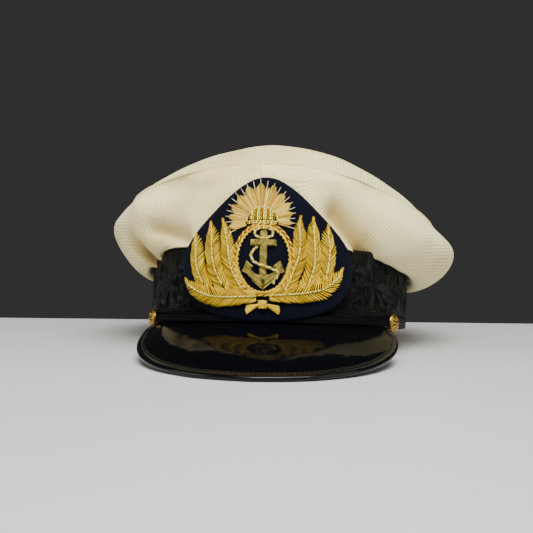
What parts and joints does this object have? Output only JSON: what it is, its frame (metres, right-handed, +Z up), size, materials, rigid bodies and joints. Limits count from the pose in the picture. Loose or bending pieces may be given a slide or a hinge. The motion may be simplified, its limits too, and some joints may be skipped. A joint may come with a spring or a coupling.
{
  "type": "naval officer's peaked cap",
  "caption": "White-topped naval officer's peaked cap with black braid band, patent peak, gilt-buttoned chin strap and gold-wire anchor badge, at rest",
  "frame": {"origin": "middle of the footprint, on the surface the cap rests on", "axes": "+Z up, -Y towards the peak, +X towards the wearer's left"},
  "size_m": [0.2418, 0.2908, 0.1362],
  "materials": {
    "white_cloth": "fine ribbed cotton twill, slightly yellowed",
    "black_braid": "black mohair braid with a raised oak-leaf pattern",
    "black_patent": "black patent leather, mirror gloss",
    "gilt": "gilt, patterned",
    "navy_cloth": "dark navy broadcloth, padded",
    "gold_wire": "gold-wire embroidery",
    "bright_wire": "bright gold bullion",
    "pale_wire": "pale peach-gold wire",
    "olive_wire": "greyed gold wire"
  },
  "bodies": {
    "root": {"crown_side": "white_cloth", "crown_top": "white_cloth", "band": "black_braid", "chin_strap": "black_patent", "button_left": "gilt", "button_right": "gilt", "peak": "black_patent", "peak_binding": "black_patent", "badge_patch": "navy_cloth", "leaf_left_1": "gold_wire", "leaf_left_2": "gold_wire", "leaf_left_3": "gold_wire", "leaf_left_4": "gold_wire", "leaf_right_1": "gold_wire", "leaf_right_2": "gold_wire", "leaf_right_3": "gold_wire", "leaf_right_4": "gold_wire", "sun_rays": "pale_wire", "sun_dome": "bright_wire", "oval_cord": "gold_wire", "anchor": "olive_wire", "anchor_rope": "bright_wire", "anchor_ring": "bright_wire", "ribbon_knot": "gold_wire"}
  },
  "joints": []
}
